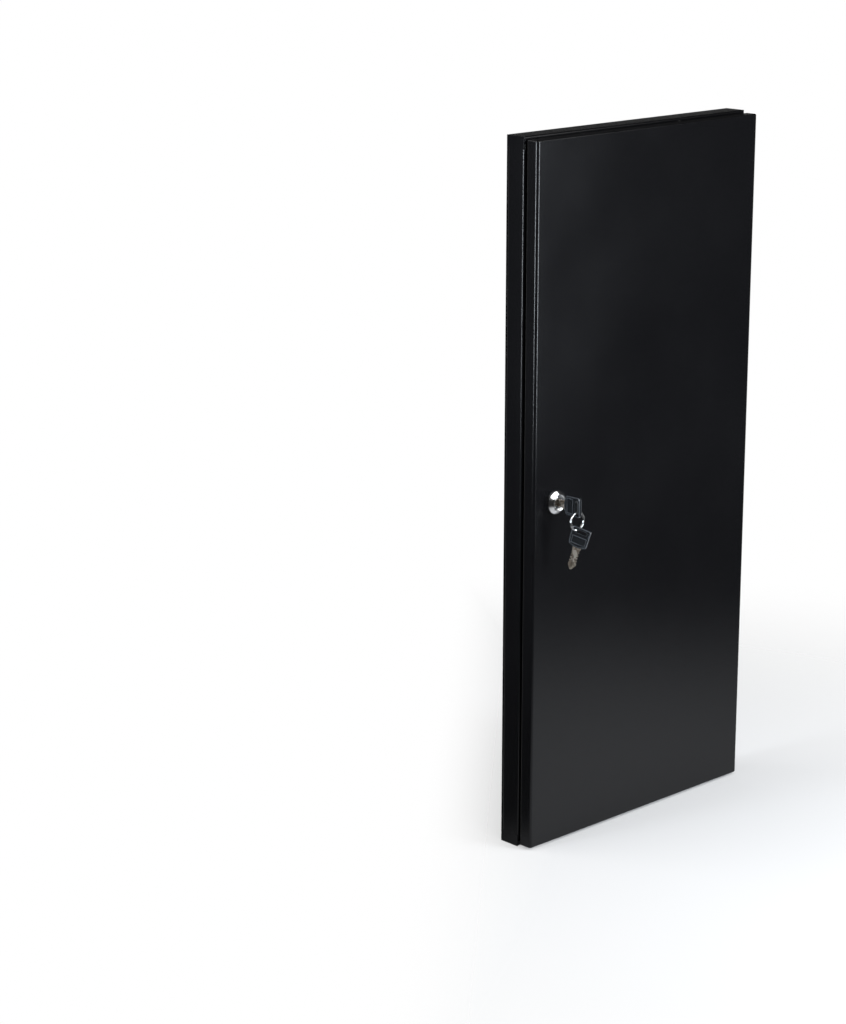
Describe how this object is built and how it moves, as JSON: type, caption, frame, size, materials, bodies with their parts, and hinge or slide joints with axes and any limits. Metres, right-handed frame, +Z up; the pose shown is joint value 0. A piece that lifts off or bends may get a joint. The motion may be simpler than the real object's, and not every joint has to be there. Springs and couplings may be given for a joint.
{
  "type": "tool chest side locker",
  "caption": "Shallow black sheet-steel locker that bolts flat to the side of a tool chest, with a hinged pan door, a perforated tool panel inside and a cam lock with keys on a ring.",
  "frame": {"origin": "centre of the back panel's rear face, where the locker meets the chest", "axes": "+X to the right seen from the front, +Y back into the chest, +Z up"},
  "size_m": [0.3292, 0.0843, 0.725],
  "materials": {
    "powder_coat": "black fine-texture powder coat, satin",
    "zinc_plate": "zinc plated steel",
    "chrome_plate": "bright chrome plate",
    "nickel_key": "nickel plated brass, slightly worn",
    "black_moulding": "black moulded plastic, fine grain",
    "rubber": "black rubber"
  },
  "bodies": {
    "carcass": {"back_panel": "powder_coat", "left_side_rail": "powder_coat", "right_side_rail": "powder_coat", "top_rail": "powder_coat", "bottom_rail": "powder_coat", "tool_panel": "powder_coat", "tool_panel_spacer_1": "zinc_plate", "tool_panel_screw_1": "zinc_plate", "door_bumper_1": "rubber", "tool_panel_spacer_2": "zinc_plate", "tool_panel_screw_2": "zinc_plate", "door_bumper_2": "rubber", "tool_panel_spacer_3": "zinc_plate", "tool_panel_screw_3": "zinc_plate", "door_bumper_3": "rubber", "tool_panel_spacer_4": "zinc_plate", "tool_panel_screw_4": "zinc_plate", "door_bumper_4": "rubber", "upper_hinge_fixed_leaf": "zinc_plate", "upper_hinge_pin": "zinc_plate", "upper_fixed_rivet_1": "zinc_plate", "upper_fixed_rivet_2": "zinc_plate", "lower_hinge_fixed_leaf": "zinc_plate", "lower_hinge_pin": "zinc_plate", "lower_fixed_rivet_1": "zinc_plate", "lower_fixed_rivet_2": "zinc_plate"},
    "door": {"door_skin": "powder_coat", "door_stiffener": "powder_coat", "upper_hinge_moving_leaf": "zinc_plate", "upper_moving_rivet_1": "zinc_plate", "upper_moving_rivet_2": "zinc_plate", "lower_hinge_moving_leaf": "zinc_plate", "lower_moving_rivet_1": "zinc_plate", "lower_moving_rivet_2": "zinc_plate", "lock_housing": "chrome_plate", "lock_washer": "zinc_plate", "lock_nut": "zinc_plate"},
    "lock_core": {"lock_plug": "chrome_plate", "lock_cam": "zinc_plate", "cam_washer": "zinc_plate", "cam_screw": "zinc_plate", "key_blade": "nickel_key", "key_bow": "black_moulding"},
    "ring": {"key_ring": "chrome_plate"},
    "spare_key": {"spare_key_blade": "nickel_key", "spare_key_bow": "black_moulding"}
  },
  "joints": [
    {"name": "door_swing", "type": "hinge", "parent": "carcass", "child": "door", "pos_m": [0.1647, -0.02555, 0], "axis": [0, 0, 1], "range_deg": [0, 120]},
    {"name": "key_turn", "type": "hinge", "parent": "door", "child": "lock_core", "pos_m": [-0.1296, -0.0415, 0], "axis": [0, 1, 0], "range_deg": [0, 90]},
    {"name": "ring_hang", "type": "hinge", "parent": "lock_core", "child": "ring", "pos_m": [-0.1296, -0.0703, -0.00835], "axis": [0, 1, 0], "range_deg": [-90, 0]},
    {"name": "spare_key_swing", "type": "hinge", "parent": "ring", "child": "spare_key", "pos_m": [-0.1296, -0.0703, -0.02295], "axis": [1, 0, 0], "range_deg": [-25, 25]}
  ],
  "couplings": [
    {"joint": "ring_hang", "follows": "key_turn", "ratio": -1}
  ]
}
